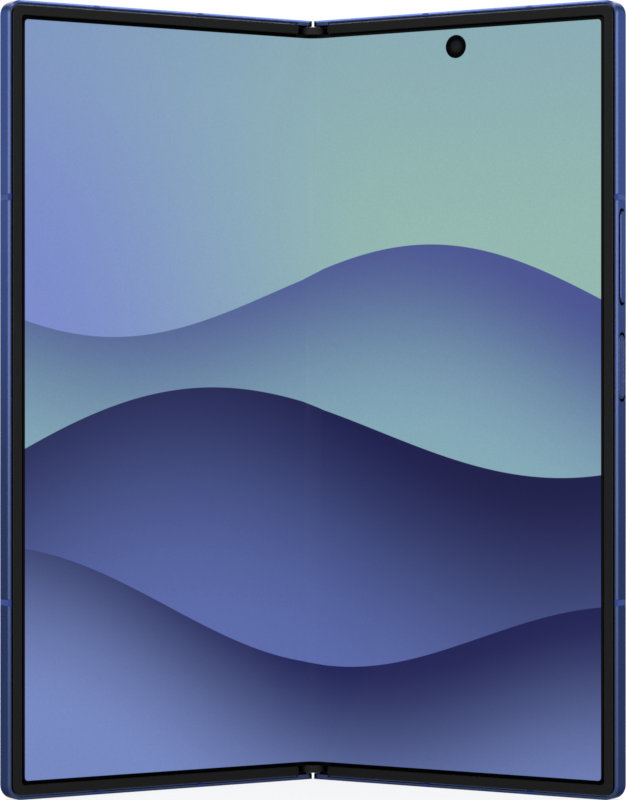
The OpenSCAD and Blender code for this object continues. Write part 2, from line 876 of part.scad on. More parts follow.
module back_glass() {
    color(glass_blue) half(1) difference() {
        slab(glass_seat, phone_t) outline(glass_u0, glass_inset, corner_r - glass_inset);
        for (s = [-1:1]) through(island_u, island_z + s * camera_pitch, camera_hole_r, 0, phone_t + past);
        through(flash_u, flash_z, flash_r, 0, phone_t + past);
    }
}

module cover_glass() {
    color("#11131c") half(-1)
        slab(glass_seat, phone_t) outline(glass_u0, glass_inset, corner_r - glass_inset);
}

module cover_display() {
    color("#0c0c10") half(-1) difference() {
        slab(cover_display_front, cover_display_back)
            outline(rail_u1 + fit, wall_t + fit, corner_r - wall_t - fit);
        through(cover_camera_u, front_camera_z, front_camera_body / 2, 0, phone_t);
    }
}

module cover_camera() {
    color(black) half(-1) {
        through(cover_camera_u, front_camera_z, front_camera_body / 2 - 2 * fit,
            component_front, cover_display_back);
        span([cover_camera_u - front_camera_body / 2, cover_camera_u + front_camera_body / 2],
            [component_front, block_back],
            [front_camera_z - front_camera_body / 2, front_camera_z + front_camera_body / 2]);
    }
}

module camera(s) {
    z = island_z + s * camera_pitch;
    color("#202024") half(1) {
        span([island_u - camera_body / 2, island_u + camera_body / 2],
            [component_front, cover_display_back], [z - camera_body / 2, z + camera_body / 2]);
        difference() {
            through(island_u, z, barrel_r, component_front, barrel_back);
            through(island_u, z, barrel_r / 3, barrel_back - ring_t, barrel_back + past);
            through(island_u, z, barrel_r / 2, barrel_back - ring_t / 2, barrel_back + past);
        }
    }
}

module camera_block() {
    color(edge_metal) half(1) difference() {
        slab(phone_t, island_back) translate([island_u, island_z]) rotate(90) pill(island_len, island_w);
        for (s = [-1:1]) through(island_u, island_z + s * camera_pitch, camera_hole_r, 0, island_back + past);
    }
}

module camera_rings() {
    color(metal) half(1) for (s = [-1:1]) difference() {
        through(island_u, island_z + s * camera_pitch, ring_r, island_back, ring_back);
        through(island_u, island_z + s * camera_pitch, ring_in_r, 0, ring_back + past);
    }
}

module camera_glasses() {
    color("#101018") half(1) for (s = [-1:1])
        through(island_u, island_z + s * camera_pitch, ring_in_r,
            ring_back - fit - lens_glass_t, ring_back - fit);
}

module flash_lens() {
    color("ivory") half(1) through(flash_u, flash_z, flash_r, glass_seat, phone_t);
}

// ---- Inside ----

module left_battery() {
    color("#2b2b30") half(-1) span([component_u0, half_w - component_edge], [component_front, block_back],
        [left_battery_z0, left_battery_z1]);
}

module right_battery() {
    color("#2b2b30") half(1) span([component_u0, half_w - component_edge], [component_front, battery_back],
        [right_battery_z0, right_battery_z1]);
}

module wireless_coil() {
    u = (component_u0 + half_w - component_edge) / 2;
    z = (right_battery_z0 + right_battery_z1) / 2;
    color(copper) half(1) difference() {
        through(u, z, coil_r, coil_front, coil_back);
        through(u, z, coil_in_r, 0, phone_t);
    }
}

// A circuit board with raised blocks
module board(u0, u1, z0, z1, chips, chip_back) {
    span([u0, u1], [component_front, component_front + board_t], [z0, z1]);
    for (c = chips)
        span([u0 + c[0], u0 + c[0] + c[2]], [component_front, chip_back],
            [z0 + c[1], z0 + c[1] + c[3]]);
}

module left_board() {
    color(board_green) half(-1)
        board(component_u0, component_u0 + left_board_w, left_battery_z1 + board_gap, left_board_z1,
            left_chips, block_back);
}

module main_board() {
    color(board_green) half(1)
        board(component_u0, island_u - camera_body, right_battery_z1 + board_gap, main_board_z1,
            main_chips, battery_back);
}

module sub_board() {
    color(board_green) half(1)
        board(component_u0, sub_board_u1, sub_board_z0, right_battery_z0 - board_gap,
            sub_chips, battery_back);
}

module usb_c_port() {
    color(steel) half(1) {
        difference() {
            end_pill(port_u, port_depth, port_w + 2 * port_wall, port_h + 2 * port_wall,
                wall_t, wall_t + port_len);
            end_pill(port_u, port_depth, port_w, port_h, wall_t - past, wall_t + port_len - port_back_t);
        }
        span([port_u - tongue_w / 2, port_u + tongue_w / 2],
            [port_depth - tongue_t / 2, port_depth + tongue_t / 2],
            [wall_t + port_len - port_back_t - tongue_len, wall_t + port_len - port_back_t / 2]);
    }
}

// Hollow behind a row of sound holes, in a speaker whose back is at depth d1
module throat(d1, z0, z1) {
    span([speaker_us[0] - throat_more, speaker_us[3] + throat_more],
        [component_front + fit, d1 - throat_floor], [z0, z1]);
}

module bottom_speaker() {
    color(black) half(1) difference() {
        span([bottom_speaker_u0, speaker_u1], [component_front, battery_back],
            [wall_t + fit, bottom_speaker_z1]);
        throat(battery_back, 0, wall_t + throat_len);
    }
}

module top_speaker() {
    color(black) half(-1) difference() {
        span([top_speaker_u0, speaker_u1], [component_front, block_back],
            [top_speaker_z0, phone_h - wall_t - fit]);
        throat(block_back, phone_h - wall_t - throat_len, phone_h);
    }
}

module vibration_motor() {
    color("silver") half(1)
        through(motor_u, motor_z, motor_r, component_front, battery_back);
}

// ---- Keys ----

module key_body(z, len, wid, face) {
    side_pill(z, len, wid, flange_in, face);
    side_pill(z, len + 2 * flange_more, flange_w, flange_in, flange_in + flange_t);
}

module volume_key() {
    color(metal) half(1) key_body(volume_mid, volume_len, key_w, half_w + volume_proud);
}

// The fingerprint sensor's form in the face of the side key
module sensor_pill(u0, u1) {
    side_pill(side_key_mid, side_key_len - 2 * sensor_margin, side_key_w - 2 * sensor_margin, u0, u1);
}

module side_key() {
    face = half_w - side_key_sunk;
    color(metal) half(1) difference() {
        key_body(side_key_mid, side_key_len, side_key_w, face);
        sensor_pill(face - sensor_t, face + past);
    }
}

module fingerprint_sensor() {
    face = half_w - side_key_sunk;
    color(edge_metal) half(1) sensor_pill(face - sensor_t, face);
}

module key_flex() {
    color(copper) half(1) {
        span([key_flex_u, key_flex_u + key_flex_t], [component_front, key_depth + key_w / 2],
            [side_key_z0, volume_z0 + volume_len]);
        for (z = [side_key_mid, volume_mid - dome_spread, volume_mid + dome_spread])
            translate([key_flex_u, key_depth, z]) rotate([0, 90, 0])
                cylinder(r = dome_r, h = key_flex_t + dome_t);
    }
}

// ---- Card tray ----

module sim_door(z0, z1, more) {
    end_pill(door_u, tray_depth, door_len + 2 * more, door_w + 2 * more, z0, z1);
}

// Box as wide as the tray and the ejector, grown by more
module tray_span(more, z0, z1) {
    span([tray_u - tray_w / 2 - more, eject_u + ejector_r + more],
        [tray_depth - tray_t / 2 - more, tray_depth + tray_t / 2 + more], [z0, z1]);
}

module sim_slot() {
    sim_door(phone_h - door_t - tray_fit, phone_h + past, tray_fit);
    tray_span(tray_fit, phone_h - wall_t - past, phone_h);
}

module sim_tray() {
    z0 = phone_h - tray_len;
    card_z0 = z0 + card_edge / 2;
    color(metal) half(-1) difference() {
        union() {
            sim_door(phone_h - door_t, phone_h, 0);
            span([tray_u - tray_w / 2, tray_u + tray_w / 2],
                [tray_depth - tray_t / 2, tray_depth + tray_t / 2], [z0, phone_h - door_t / 2]);
        }
        span([tray_u - card_w / 2, tray_u + card_w / 2],
            [tray_depth - tray_t, tray_depth - tray_t / 2 + card_t], [card_z0, card_z0 + card_len]);
        translate([eject_u, tray_depth, z0]) cylinder(r = eject_r, h = tray_len + past);
    }
}

module sim_holder() {
    z0 = phone_h - wall_t - holder_len;
    z1 = phone_h - wall_t - fit;
    color(steel) half(-1) difference() {
        intersection() {
            tray_span(tray_fit + holder_wall, z0, z1);
            span([0, half_w], [component_front - fit, block_back], [z0, z1]);
        }
        tray_span(tray_fit, z0 + holder_wall, phone_h);
    }
}

module sim_ejector() {
    color(steel) half(-1) translate([eject_u, tray_depth, phone_h - door_t - ejector_gap - ejector_len])
        cylinder(r = ejector_r, h = ejector_len);
}

// ---- Drawing ----

spine_cover();
hinge_base(true);  // hinge_base_top
hinge_base(false);  // hinge_base_bottom
hinge_pins();
pressure_collars();
hinge_springs();
hinge_cap(phone_h - cap_z0 - cap_h);  // hinge_cap_top
hinge_cap(cap_z0);  // hinge_cap_bottom
spine_screws();
fold_display();
flex_cable(phone_h / 2 + flex_z);  // flex_cable_upper
flex_cable(phone_h / 2 - flex_z);  // flex_cable_lower
idler_gears(-1);  // idler_gears_left
idler_gears(1);  // idler_gears_right
arm(-1, true);  // left_arm_top
arm(-1, false);  // left_arm_bottom
arm_screws(-1);  // left_arm_screws
left_frame();
antenna_breaks(-1);  // left_antenna_breaks
bezel(-1);  // left_bezel
display_half(-1);  // display_left
support_plate(-1);  // left_support_plate
left_battery();
left_board();
cover_glass();
cover_display();
cover_camera();
top_speaker();
sim_holder();
arm(1, true);  // right_arm_top
arm(1, false);  // right_arm_bottom
arm_screws(1);  // right_arm_screws
right_frame();
antenna_breaks(1);  // right_antenna_breaks
bezel(1);  // right_bezel
display_half(1);  // display_right
support_plate(1);  // right_support_plate
right_battery();
wireless_coil();
main_board();
sub_board();
inner_camera();
inner_camera_lens();
camera(0);  // camera_wide
camera(1);  // camera_ultrawide
camera(-1);  // camera_tele
camera_block();
camera_rings();
camera_glasses();
flash_lens();
back_glass();
usb_c_port();
bottom_speaker();
vibration_motor();
key_flex();
volume_key();
side_key();
fingerprint_sensor();
sim_tray();
sim_ejector();
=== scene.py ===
"""Looks of a foldable smartphone that stands half open on its lower edges: anodised metal, a soft raised
bezel, satin back glass, and one lit display that bends over the hinge."""

import json
import math

import bmesh
import bpy
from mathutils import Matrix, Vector


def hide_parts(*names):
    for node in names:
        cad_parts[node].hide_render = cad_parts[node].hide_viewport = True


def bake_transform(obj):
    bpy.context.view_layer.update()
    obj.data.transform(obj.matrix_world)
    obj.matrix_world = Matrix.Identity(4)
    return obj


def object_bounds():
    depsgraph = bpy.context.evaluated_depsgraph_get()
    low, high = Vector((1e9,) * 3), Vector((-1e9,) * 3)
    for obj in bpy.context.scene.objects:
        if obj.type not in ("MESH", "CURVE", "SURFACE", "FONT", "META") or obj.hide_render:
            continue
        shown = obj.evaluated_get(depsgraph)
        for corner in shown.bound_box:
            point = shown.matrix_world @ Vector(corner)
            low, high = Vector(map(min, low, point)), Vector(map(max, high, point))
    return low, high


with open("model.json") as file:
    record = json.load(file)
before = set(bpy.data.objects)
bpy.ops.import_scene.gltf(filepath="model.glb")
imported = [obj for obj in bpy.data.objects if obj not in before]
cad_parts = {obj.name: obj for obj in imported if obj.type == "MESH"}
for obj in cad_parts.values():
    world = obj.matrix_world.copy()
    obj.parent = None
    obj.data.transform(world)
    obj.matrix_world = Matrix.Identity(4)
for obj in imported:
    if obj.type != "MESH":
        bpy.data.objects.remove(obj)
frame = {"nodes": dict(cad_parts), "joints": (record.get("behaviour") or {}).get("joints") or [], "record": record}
cad_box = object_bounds()
nodes = frame["nodes"]
joints = {joint["name"]: joint for joint in frame["joints"]}

MM = 0.001

# The frame's own sizes, in metres: u runs outward from the fold along a half, depth from its front rim
PHONE_H = cad_box[1][2]
AXIS = Vector(joints["right_fold"]["pos_m"])
TILT = math.radians(-joints["right_fold"]["range_deg"][0])
AXIS_DEPTH = 1.75 * MM
DISPLAY_SINK = 0.15 * MM
DISPLAY_EDGE_U = 68.6 * MM
DISPLAY_END_Z = 3.0 * MM
DISPLAY_T = 0.45 * MM
BEND_U = 3.12 * MM
CORNER_R = 0.8 * MM
ACTIVE_W = 135.8 * MM
ACTIVE_H = 150.9 * MM
PUNCH_U = 34.9 * MM
PUNCH_Z = PHONE_H - 7.3 * MM
PUNCH_R = 2.37 * MM
LENS_R = 1.35 * MM

# How finely the display is drawn: steps round the bend, a corner and a quarter of the punch hole
BEND_STEPS = 18
CORNER_STEPS = 6
PUNCH_STEPS = 16


# ---- Places ----

def at(side, u, depth, z):
    """A point of a half, side -1 on the left and 1 on the right, in the frame at rest."""
    du = u - AXIS.x
    dd = depth - AXIS_DEPTH
    x = AXIS.x + du * math.cos(TILT) + dd * math.sin(TILT)
    y = AXIS.y - du * math.sin(TILT) + dd * math.cos(TILT)
    return Vector((side * x, y, z))


BEND_END = at(1, BEND_U, DISPLAY_SINK, 0)
BEND_R = BEND_END.x / math.sin(TILT)
BEND_Y = BEND_END.y - BEND_R * math.cos(TILT)


def on_display(u, z, behind=0.0):
    """The display's face, or a depth behind it, at the signed distance u from the fold line, round its bend
    and out along a half."""
    side = -1 if u < 0 else 1
    if abs(u) >= BEND_U:
        return at(side, abs(u), DISPLAY_SINK + behind, z)
    angle = TILT * abs(u) / BEND_U
    radius = BEND_R + behind
    return Vector((side * radius * math.sin(angle), BEND_Y + radius * math.cos(angle), z))


# ---- Node helpers ----

class Nodes:
    """Short calls that add and link shader nodes of one material."""

    def __init__(self, tree):
        self.tree = tree
        self.links = tree.links

    def add(self, kind, **settings):
        node = self.tree.nodes.new(kind)
        for name, value in settings.items():
            setattr(node, name, value)
        return node

    def put(self, socket, value):
        if isinstance(value, bpy.types.NodeSocket):
            self.links.new(value, socket)
        else:
            socket.default_value = value

    def math(self, operation, a, b=0.0, clamp=False):
        node = self.add("ShaderNodeMath", operation=operation, use_clamp=clamp)
        self.put(node.inputs[0], a)
        self.put(node.inputs[1], b)
        return node.outputs[0]

    def smooth(self, value, low, high):
        node = self.add("ShaderNodeMapRange", interpolation_type="SMOOTHSTEP")
        self.put(node.inputs[0], value)
        self.put(node.inputs[1], low)
        self.put(node.inputs[2], high)
        return node.outputs[0]

    def linear(self, value, low, high, to_low=0.0, to_high=1.0):
        node = self.add("ShaderNodeMapRange")
        for socket, number in zip(node.inputs, (value, low, high, to_low, to_high)):
            self.put(socket, number)
        return node.outputs[0]

    def mix(self, share, a, b):
        node = self.add("ShaderNodeMix", data_type="RGBA")
        self.put(node.inputs[0], share)
        self.put(node.inputs[6], a)
        self.put(node.inputs[7], b)
        return node.outputs[2]

    def noise(self, scale, detail=2.0, stretch=(1, 1, 1)):
        place = self.add("ShaderNodeTexCoord").outputs["Object"]
        mapping = self.add("ShaderNodeMapping")
        self.put(mapping.inputs[0], place)
        mapping.inputs["Scale"].default_value = stretch
        node = self.add("ShaderNodeTexNoise")
        self.put(node.inputs["Vector"], mapping.outputs[0])
        node.inputs["Scale"].default_value = scale
        node.inputs["Detail"].default_value = detail
        return node.outputs[0]

    def seen(self):
        """1 for the rays that show the backdrop: straight, in metal and through glass."""
        path = self.add("ShaderNodeLightPath").outputs
        shown = self.math("MAXIMUM", path["Is Camera Ray"], path["Is Glossy Ray"])
        return self.math("MAXIMUM", shown, path["Is Transmission Ray"])

    def bump(self, height, distance, strength=1.0):
        node = self.add("ShaderNodeBump")
        node.inputs["Strength"].default_value = strength
        node.inputs["Distance"].default_value = distance
        self.put(node.inputs["Height"], height)
        return node.outputs[0]


def srgb(r, g, b):
    """A colour written as 0 to 255 sRGB, as the linear colour that sockets take."""
    def linear(v):
        v /= 255
        return v / 12.92 if v <= 0.04045 else ((v + 0.055) / 1.055) ** 2.4
    return (linear(r), linear(g), linear(b), 1.0)


def shade(colour, factor):
    return tuple(v * factor for v in colour[:3]) + (1.0,)


def material(name):
    """A new material with its Principled shader: returns the material, its node calls and the shader."""
    made = bpy.data.materials.new(name)
    made.use_nodes = True
    return made, Nodes(made.node_tree), made.node_tree.nodes["Principled BSDF"]


def finish(name, colour, rough, metallic=0.0, specular=0.5, grain=900.0, depth=0.004 * MM, vary=0.06,
           rough_vary=0.08, stretch=(1, 1, 1), coat=0.0, edge_tint=(1, 1, 1)):
    """A surface with a fine grain: small changes of colour and roughness, and a slight bump."""
    made, n, shader = material(name)
    fine = n.noise(grain, 3.0, stretch)
    broad = n.noise(grain / 40, 2.0)
    n.put(shader.inputs["Base Color"], n.mix(
        n.linear(n.math("ADD", fine, broad), 0.7, 1.3), shade(colour, 1 - vary), shade(colour, 1 + vary)))
    n.put(shader.inputs["Roughness"], n.linear(fine, 0.3, 0.7, rough - rough_vary, rough + rough_vary))
    n.put(shader.inputs["Normal"], n.bump(fine, depth))
    shader.inputs["Metallic"].default_value = metallic
    shader.inputs["Specular IOR Level"].default_value = specular
    shader.inputs["Specular Tint"].default_value = tuple(edge_tint) + (1.0,)
    shader.inputs["Coat Weight"].default_value = coat
    shader.inputs["Coat Roughness"].default_value = 0.08
    return made


# ---- Materials ----

def wallpaper_colour(n, x, y):
    """A generic picture of soft folded waves in dusk blue, teal and sage: x and y run from the middle of
    the display, in widths of it."""
    def wave(level, height, turns, start, slope):
        """How far below a wave's crest a point lies."""
        phase = n.math("ADD", n.math("MULTIPLY", x, turns), start)
        swell = n.math("MULTIPLY", n.math("SINE", phase), height)
        crest = n.math("ADD", n.math("ADD", swell, level), n.math("MULTIPLY", x, slope))
        return n.math("SUBTRACT", crest, y)

    sky_across = n.smooth(n.math("ADD", x, n.math("MULTIPLY", y, 0.25)), -0.5, 0.25)
    sky = n.mix(sky_across, srgb(122, 138, 204), srgb(146, 184, 176))
    glow = n.smooth(y, 0.2, 0.62)
    sky = n.mix(n.math("MULTIPLY", glow, 0.55), sky, srgb(128, 158, 184))
    layers = [
        # level, height, turns, start, slope, colours under the crest and further down, fade, across
        (0.16, 0.085, 5.2, 0.4, -0.05, srgb(74, 84, 146), srgb(132, 170, 184), 0.34),
        (-0.06, 0.10, 4.4, 2.6, 0.10, srgb(27, 28, 74), srgb(92, 108, 172), 0.46),
        (-0.33, 0.075, 5.6, 4.6, -0.08, srgb(30, 32, 84), srgb(118, 136, 194), 0.34),
    ]
    picture = sky
    for level, height, turns, start, slope, near, far, fade in layers:
        below = wave(level, height, turns, start, slope)
        drift = n.smooth(n.math("SUBTRACT", n.math("MULTIPLY", y, 0.3), x), -0.5, 0.5)
        depth = n.smooth(n.math("ADD", below, n.math("MULTIPLY", drift, 0.1)), 0.0, fade)
        body = n.mix(depth, near, far)
        picture = n.mix(n.smooth(below, -0.0006, 0.0006), picture, body)
    return picture


# The lit picture's corner radius, and half the width of its soft edge in widths of the display
PICTURE_CORNER_R = 0.7 * MM
PICTURE_EDGE = 0.0003


def make_screen():
    """The lit display with its black border and a fine grain in the picture."""
    made, n, shader = material("lit_display")
    place = n.add("ShaderNodeSeparateXYZ")
    n.put(place.inputs[0], n.add("ShaderNodeUVMap", uv_map="display").outputs[0])
    x = n.math("SUBTRACT", place.outputs[0], 0.5)
    y = n.math("SUBTRACT", place.outputs[1], 0.5)
    picture = wallpaper_colour(n, x, y)
    grain = n.linear(n.noise(2600.0, 1.0), 0.3, 0.7, 0.97, 1.03)
    brighten = n.add("ShaderNodeMix", data_type="RGBA", blend_type="MULTIPLY")
    brighten.inputs[0].default_value = 1.0
    n.put(brighten.inputs[6], picture)
    n.put(brighten.inputs[7], grain)
    half_h = ACTIVE_H / ACTIVE_W / 2
    radius = PICTURE_CORNER_R / ACTIVE_W
    over_x = n.math("MAXIMUM", n.math("SUBTRACT", n.math("ABSOLUTE", x), 0.5 - radius), 0.0)
    over_y = n.math("MAXIMUM", n.math("SUBTRACT", n.math("ABSOLUTE", y), half_h - radius), 0.0)
    over = n.math("SQRT", n.math("ADD", n.math("POWER", over_x, 2.0), n.math("POWER", over_y, 2.0)))
    border = n.smooth(over, radius - PICTURE_EDGE, radius + PICTURE_EDGE)
    n.put(shader.inputs["Emission Color"], n.mix(border, brighten.outputs[2], (0.0, 0.0, 0.0, 1.0)))
    shader.inputs["Emission Strength"].default_value = 1.0
    shader.inputs["Base Color"].default_value = (0.002, 0.002, 0.002, 1.0)
    n.put(shader.inputs["Roughness"], n.linear(n.noise(400.0), 0.3, 0.7, 0.2, 0.26))
    shader.inputs["Specular IOR Level"].default_value = 0.03
    return made


def make_spine_metal_with_painted_shade():
    """The spine's anodised metal, with painted shade on its inner side: its faces that point at the viewer are
    painted black.
    """
    made = anodised("anodised_painted_shade")
    n = Nodes(made.node_tree)
    shader = made.node_tree.nodes["Principled BSDF"]
    facing = n.add("ShaderNodeSeparateXYZ")
    n.put(facing.inputs[0], n.add("ShaderNodeTexCoord").outputs["Normal"])
    # Painted shade: faces that point at the viewer turn black, lose their metal and shine less.
    painted_shade = n.linear(facing.outputs[1], -0.2, -0.1, 1.0, 0.0)
    colour = shader.inputs["Base Color"].links[0].from_socket
    n.put(shader.inputs["Base Color"], n.mix(painted_shade, colour, srgb(6, 6, 6)))
    n.put(shader.inputs["Metallic"], n.math("SUBTRACT", 1.0, painted_shade))
    n.put(shader.inputs["Specular IOR Level"], n.linear(painted_shade, 0.0, 1.0, 0.5, 0.05))
    return made


def make_inner_lens():
    """The inner camera's lens: near black, with painted reflections round its middle: faint coloured rings that
    stand for its coating's glints.
    """
    made, n, shader = material("inner_lens")
    middle = n.add("ShaderNodeVectorMath", operation="DISTANCE")
    n.put(middle.inputs[0], n.add("ShaderNodeTexCoord").outputs["Object"])
    middle.inputs[1].default_value = at(1, PUNCH_U, DISPLAY_SINK, PUNCH_Z)
    away = n.math("DIVIDE", middle.outputs["Value"], LENS_R)
    # Painted reflection: purple and green rings in the lens's colour stand for glints off its coating.
    rings = n.mix(n.smooth(away, 0.1, 0.62), srgb(30, 22, 34), srgb(17, 21, 21))
    rings = n.mix(n.smooth(away, 0.66, 0.94), rings, srgb(12, 11, 13))
    n.put(shader.inputs["Base Color"], rings)
    n.put(shader.inputs["Roughness"], n.linear(n.noise(800.0), 0.3, 0.7, 0.05, 0.07))
    shader.inputs["Specular IOR Level"].default_value = 0.03
    return made


def anodised(name):
    """Blue metal with a fine blasted grain, which whitens little at its edges."""
    return finish(name, srgb(55, 65, 98), 0.3, metallic=1.0, grain=3200.0, depth=0.0006 * MM, vary=0.03,
                  rough_vary=0.03, edge_tint=(0.35, 0.35, 0.35))


def make_materials():
    cap_black = finish("cap_soft_black", srgb(20, 20, 20), 0.6, specular=0.14, grain=1200.0)
    return {
        "blue_metal": anodised("anodised_blue"),
        "spine_cover": make_spine_metal_with_painted_shade(),
        "blue_bands": finish("band_blue", srgb(40, 59, 120), 0.4, specular=0.03, grain=1500.0, vary=0.04),
        "fingerprint_sensor": finish("sensor_blue", srgb(27, 43, 91), 0.35, specular=0.03, grain=1500.0,
                                     vary=0.04),
        "steel": finish("ground_steel", srgb(170, 172, 176), 0.32, metallic=1.0, stretch=(1, 1, 0.05)),
        "black_plastic": finish("black_moulding", srgb(18, 18, 19), 0.6, specular=0.12),
        "bezel": finish("bezel_soft_black", srgb(8, 8, 8), 0.36, specular=0.12, grain=2200.0),
        "dark_glass": finish("cover_gloss", srgb(11, 12, 16), 0.06, specular=0.3, grain=40.0,
                             depth=0.0005 * MM, rough_vary=0.02),
        "blue_glass": finish("satin_back", srgb(52, 66, 122), 0.38, grain=2600.0, depth=0.001 * MM,
                             vary=0.03),
        "hinge_cap_top": cap_black,
        "hinge_cap_bottom": cap_black,
        "lens_glass": finish("coated_lens", srgb(8, 8, 13), 0.14, specular=0.12, grain=60.0,
                             depth=0.0003 * MM, rough_vary=0.02),
        "screen": finish("panel_off", srgb(10, 10, 13), 0.2, specular=0.3, grain=700.0),
        "inner_camera": finish("camera_black", srgb(4, 4, 5), 0.5, specular=0.01, grain=1800.0),
        "inner_camera_lens": make_inner_lens(),
        "battery": finish("battery_foil", srgb(48, 48, 52), 0.5),
        "board": finish("board_green", srgb(26, 80, 56), 0.4),
        "copper": finish("copper_sheet", srgb(184, 115, 70), 0.3, metallic=1.0),
        "ivory": finish("flash_diffuser", srgb(232, 224, 196), 0.25, grain=500.0, coat=0.6),
    }


# Vertices closer than this are one, and edges sharper than the angles are softened or stay crisp
WELD_DISTANCE = 0.0005 * MM
SOFTENED_ANGLE = math.radians(50)
CRISP_ANGLE = math.radians(30)

# Softened edges, in mm, of the pieces that show: rounded from ROUNDED up, and one small chamfer below it
ROUNDED = 0.2
ROUND_SEGMENTS = 4
BEVELS = {
    "left_frame": 0.05, "right_frame": 0.05, "left_bezel": 0.12, "right_bezel": 0.12,
    "hinge_cap_top": 0.08, "hinge_cap_bottom": 0.08, "spine_cover": 0.06, "volume_key": 0.12,
    "side_key": 0.06, "fingerprint_sensor": 0.04, "camera_block": 0.3, "camera_rings": 0.22,
    "back_glass": 0.12, "cover_glass": 0.12, "sim_tray": 0.06, "camera_glasses": 0.05, "flash_lens": 0.08,
    "inner_camera": 0.05,
}


def dress(materials):
    """Gives each CAD node its material and softens the edges of those that show."""
    slots = {part["node"]: part["material_slot"] for part in frame["record"]["subparts"]}
    for name, node in nodes.items():
        node.data.materials.clear()
        node.data.materials.append(materials.get(name, materials[slots[name]]))
        for face in node.data.polygons:
            face.use_smooth = True
        node.modifiers.new("joined", "WELD").merge_threshold = WELD_DISTANCE
        if name in BEVELS:
            bevel = node.modifiers.new("soft_edges", "BEVEL")
            bevel.width = BEVELS[name] * MM
            bevel.segments = 1 if BEVELS[name] < ROUNDED else ROUND_SEGMENTS
            bevel.limit_method = "ANGLE"
            bevel.angle_limit = SOFTENED_ANGLE
            bevel.use_clamp_overlap = False
        node.modifiers.new("crisp", "EDGE_SPLIT").split_angle = CRISP_ANGLE
        node.modifiers.new("even_normals", "WEIGHTED_NORMAL").keep_sharp = True


# ---- Display ----

def spread(a, b, count):
    return [a + (b - a) * i / count for i in range(count + 1)]


def draw_flat_half(work, side):
    """Faces of one half of the display, drawn flat as (u, z), in strips out from the fold line."""
    columns = [(u, DISPLAY_END_Z) for u in spread(0, BEND_U, BEND_STEPS)]
    columns.append((DISPLAY_EDGE_U - CORNER_R, DISPLAY_END_Z))
    for i in range(1, CORNER_STEPS + 1):
        angle = math.pi / 2 * i / CORNER_STEPS
        columns.append((DISPLAY_EDGE_U - CORNER_R + CORNER_R * math.sin(angle),
                        DISPLAY_END_Z + CORNER_R * (1 - math.cos(angle))))
    strips = [[work.verts.new((side * u, 0, z)) for z in (low, PHONE_H - low)] for u, low in columns]
    for (a, b), (c, d) in zip(strips, strips[1:]):
        work.faces.new((a, c, d, b) if side > 0 else (a, b, d, c))


def cut_punch(work):
    """Replaces a square of the right half round the inner camera by faces that leave a round hole."""
    reach = 1.5 * PUNCH_R
    for place, normal in (((PUNCH_U - reach, 0, 0), (1, 0, 0)), ((PUNCH_U + reach, 0, 0), (1, 0, 0)),
                          ((0, 0, PUNCH_Z - reach), (0, 0, 1)), ((0, 0, PUNCH_Z + reach), (0, 0, 1))):
        bmesh.ops.bisect_plane(work, geom=work.verts[:] + work.edges[:] + work.faces[:],
                               plane_co=place, plane_no=normal)
    square = min(work.faces, key=lambda f: (f.calc_center_median() - Vector((PUNCH_U, 0, PUNCH_Z))).length)
    corners = sorted(square.verts, key=lambda v: math.atan2(v.co.z - PUNCH_Z, v.co.x - PUNCH_U))
    work.faces.remove(square)
    ring = []
    for i in range(4 * PUNCH_STEPS):
        angle = -math.pi + math.pi / 2 * i / PUNCH_STEPS
        place = (PUNCH_U + PUNCH_R * math.cos(angle), 0, PUNCH_Z + PUNCH_R * math.sin(angle))
        ring.append(work.verts.new(place))
    for quarter, corner in enumerate(corners):
        for i in range(quarter * PUNCH_STEPS, (quarter + 1) * PUNCH_STEPS):
            work.faces.new((corner, ring[(i + 1) % len(ring)], ring[i]))
        after = corners[(quarter + 1) % 4]
        work.faces.new((corner, after, ring[(quarter + 1) * PUNCH_STEPS % len(ring)]))


def make_display_half(side, screen, edge):
    """One half of the display: its face up to the fold line, with the edge of the panel behind it."""
    mesh = bpy.data.meshes.new("display_face")
    made = bpy.data.objects.new("lit_display_left" if side < 0 else "lit_display_right", mesh)
    bpy.context.scene.collection.objects.link(made)
    work = bmesh.new()
    uv_layer = work.loops.layers.uv.new("display")
    draw_flat_half(work, side)
    if side > 0:
        cut_punch(work)
    bmesh.ops.recalc_face_normals(work, faces=work.faces[:])
    if work.faces[0].normal.y > 0:
        bmesh.ops.reverse_faces(work, faces=work.faces[:])
    for face in work.faces:
        for loop in face.loops:
            u, z = loop.vert.co.x, loop.vert.co.z
            loop[uv_layer].uv = (u / ACTIVE_W + 0.5, (z - PHONE_H / 2) / ACTIVE_W + 0.5)
    rim = [e for e in work.edges if e.is_boundary and any(abs(v.co.x) > 1e-6 for v in e.verts)]
    walls = bmesh.ops.extrude_edge_only(work, edges=rim)["geom"]
    for face in walls:
        if isinstance(face, bmesh.types.BMFace):
            face.material_index = 1
    back = {v for v in walls if isinstance(v, bmesh.types.BMVert)}
    for vertex in work.verts:
        u, z = vertex.co.x, vertex.co.z
        vertex.co = on_display(u, z, DISPLAY_T if vertex in back else 0.0)
    work.to_mesh(mesh)
    work.free()
    mesh.materials.append(screen)
    mesh.materials.append(edge)
    for face in mesh.polygons:
        face.use_smooth = face.material_index == 0
    return made


def make_display(screen, edge):
    made = {}
    for side, body in ((-1, "left_half"), (1, "right_half")):
        piece = make_display_half(side, screen, edge)
        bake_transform(piece)
        made[side] = piece
    return made


# ---- Studio ----

FLOOR_SIZE = 6.0
BACKDROP_SHARE = 0.8
WORLD_LIGHT = 0.45
WHITE = (1, 1, 1, 1)
UPRIGHT_LAMP = (0.28, 0.5)


